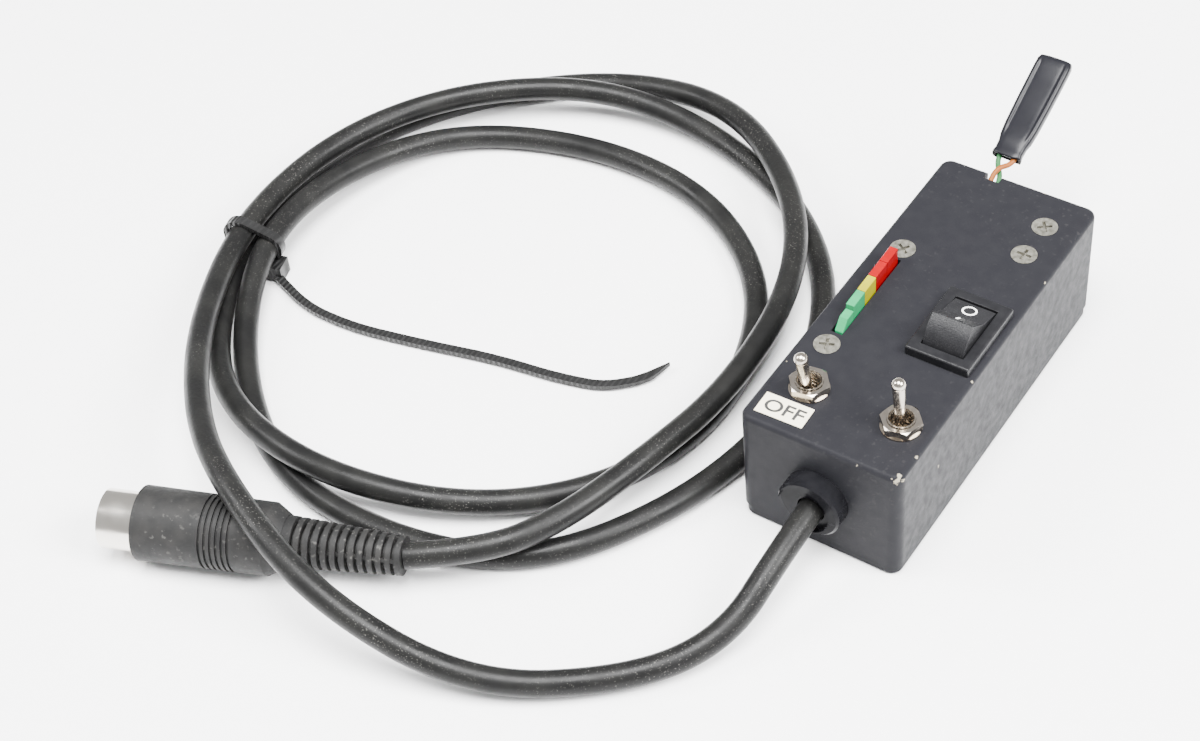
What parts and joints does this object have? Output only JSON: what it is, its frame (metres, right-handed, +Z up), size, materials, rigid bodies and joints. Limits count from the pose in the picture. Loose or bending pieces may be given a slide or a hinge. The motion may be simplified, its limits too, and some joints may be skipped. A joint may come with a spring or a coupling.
{
  "type": "hand controller",
  "caption": "Handheld telescope controller: a box with toggle switches, a rocker, an indicator bar and a looped lead with a round plug.",
  "frame": {"origin": "middle of the box's underside", "axes": "+X across the box, +Y along it away from the lead, +Z up out of the panel"},
  "size_m": [0.1898, 0.2049, 0.0445],
  "materials": {
    "case_shell": "satin black",
    "base_lid": "satin black",
    "lid_screws": "worn zinc",
    "panel_screws": "worn zinc",
    "panel_spacers": "worn zinc",
    "panel_nuts": "worn zinc",
    "indicator_board": "bare laminate",
    "tag_strip": "bare laminate",
    "tag_strip_tags": "tinned",
    "led_leads": "tinned",
    "rocker_terminals": "tinned",
    "toggle_left_terminals": "tinned",
    "toggle_right_terminals": "tinned",
    "led_red_far": "translucent red",
    "led_red_near": "translucent red",
    "led_yellow": "translucent yellow",
    "led_green_far": "translucent green",
    "led_green_near": "translucent green",
    "toggle_left_bushing": "nickel plate",
    "toggle_left_nut": "nickel plate",
    "toggle_left_washer": "nickel plate",
    "toggle_left_back_nut": "nickel plate",
    "toggle_left_lever": "nickel plate",
    "toggle_left_body": "moulded",
    "toggle_right_bushing": "nickel plate",
    "toggle_right_nut": "nickel plate",
    "toggle_right_washer": "nickel plate",
    "toggle_right_back_nut": "nickel plate",
    "toggle_right_lever": "nickel plate",
    "toggle_right_body": "moulded",
    "rocker_housing": "black",
    "rocker_actuator": "black",
    "bushing_body": "black",
    "bushing_clamp": "black",
    "plug_insert": "black",
    "off_label": "cream tape",
    "lead": "black",
    "lead_inner_end": "black",
    "plug_body": "black",
    "plug_boot": "black",
    "lead_cores": "insulation",
    "wire_green": "insulation",
    "wire_beige": "insulation",
    "heat_shrink_sleeve": "shrunk tubing",
    "sleeved_component": "moulded",
    "cable_tie": "black nylon",
    "plug_shell": "nickel plate",
    "plug_pins": "nickel plate"
  },
  "bodies": {
    "case": {"case_shell": "case_shell", "base_lid": "base_lid", "lid_screws": "lid_screws", "panel_screws": "panel_screws", "panel_spacers": "panel_spacers", "panel_nuts": "panel_nuts", "indicator_board": "indicator_board", "tag_strip": "tag_strip", "tag_strip_tags": "tag_strip_tags", "led_leads": "led_leads", "rocker_terminals": "rocker_terminals", "toggle_left_terminals": "toggle_left_terminals", "toggle_right_terminals": "toggle_right_terminals", "led_red_far": "led_red_far", "led_red_near": "led_red_near", "led_yellow": "led_yellow", "led_green_far": "led_green_far", "led_green_near": "led_green_near", "toggle_left_bushing": "toggle_left_bushing", "toggle_left_nut": "toggle_left_nut", "toggle_left_washer": "toggle_left_washer", "toggle_left_back_nut": "toggle_left_back_nut", "toggle_left_body": "toggle_left_body", "toggle_right_bushing": "toggle_right_bushing", "toggle_right_nut": "toggle_right_nut", "toggle_right_washer": "toggle_right_washer", "toggle_right_back_nut": "toggle_right_back_nut", "toggle_right_body": "toggle_right_body", "rocker_housing": "rocker_housing", "bushing_body": "bushing_body", "bushing_clamp": "bushing_clamp", "plug_insert": "plug_insert", "off_label": "off_label", "lead": "lead", "lead_inner_end": "lead_inner_end", "plug_body": "plug_body", "plug_boot": "plug_boot", "lead_cores": "lead_cores", "wire_green": "wire_green", "wire_beige": "wire_beige", "heat_shrink_sleeve": "heat_shrink_sleeve", "sleeved_component": "sleeved_component", "cable_tie": "cable_tie", "plug_shell": "plug_shell", "plug_pins": "plug_pins"},
    "toggle_left_lever": {"toggle_left_lever": "toggle_left_lever"},
    "toggle_right_lever": {"toggle_right_lever": "toggle_right_lever"},
    "rocker_actuator": {"rocker_actuator": "rocker_actuator"}
  },
  "joints": [
    {"name": "toggle_left_throw", "type": "hinge", "parent": "case", "child": "toggle_left_lever", "pos_m": [-0.0096, -0.0325, 0.0284], "axis": [-1, 0, 0], "range_deg": [0, 25]},
    {"name": "toggle_right_throw", "type": "hinge", "parent": "case", "child": "toggle_right_lever", "pos_m": [0.012, -0.0325, 0.0284], "axis": [1, 0, 0], "range_deg": [-12, 12]},
    {"name": "rocker_throw", "type": "hinge", "parent": "case", "child": "rocker_actuator", "pos_m": [0.0101, -0.0034, 0.0312], "axis": [1, 0, 0], "range_deg": [0, 26]}
  ]
}
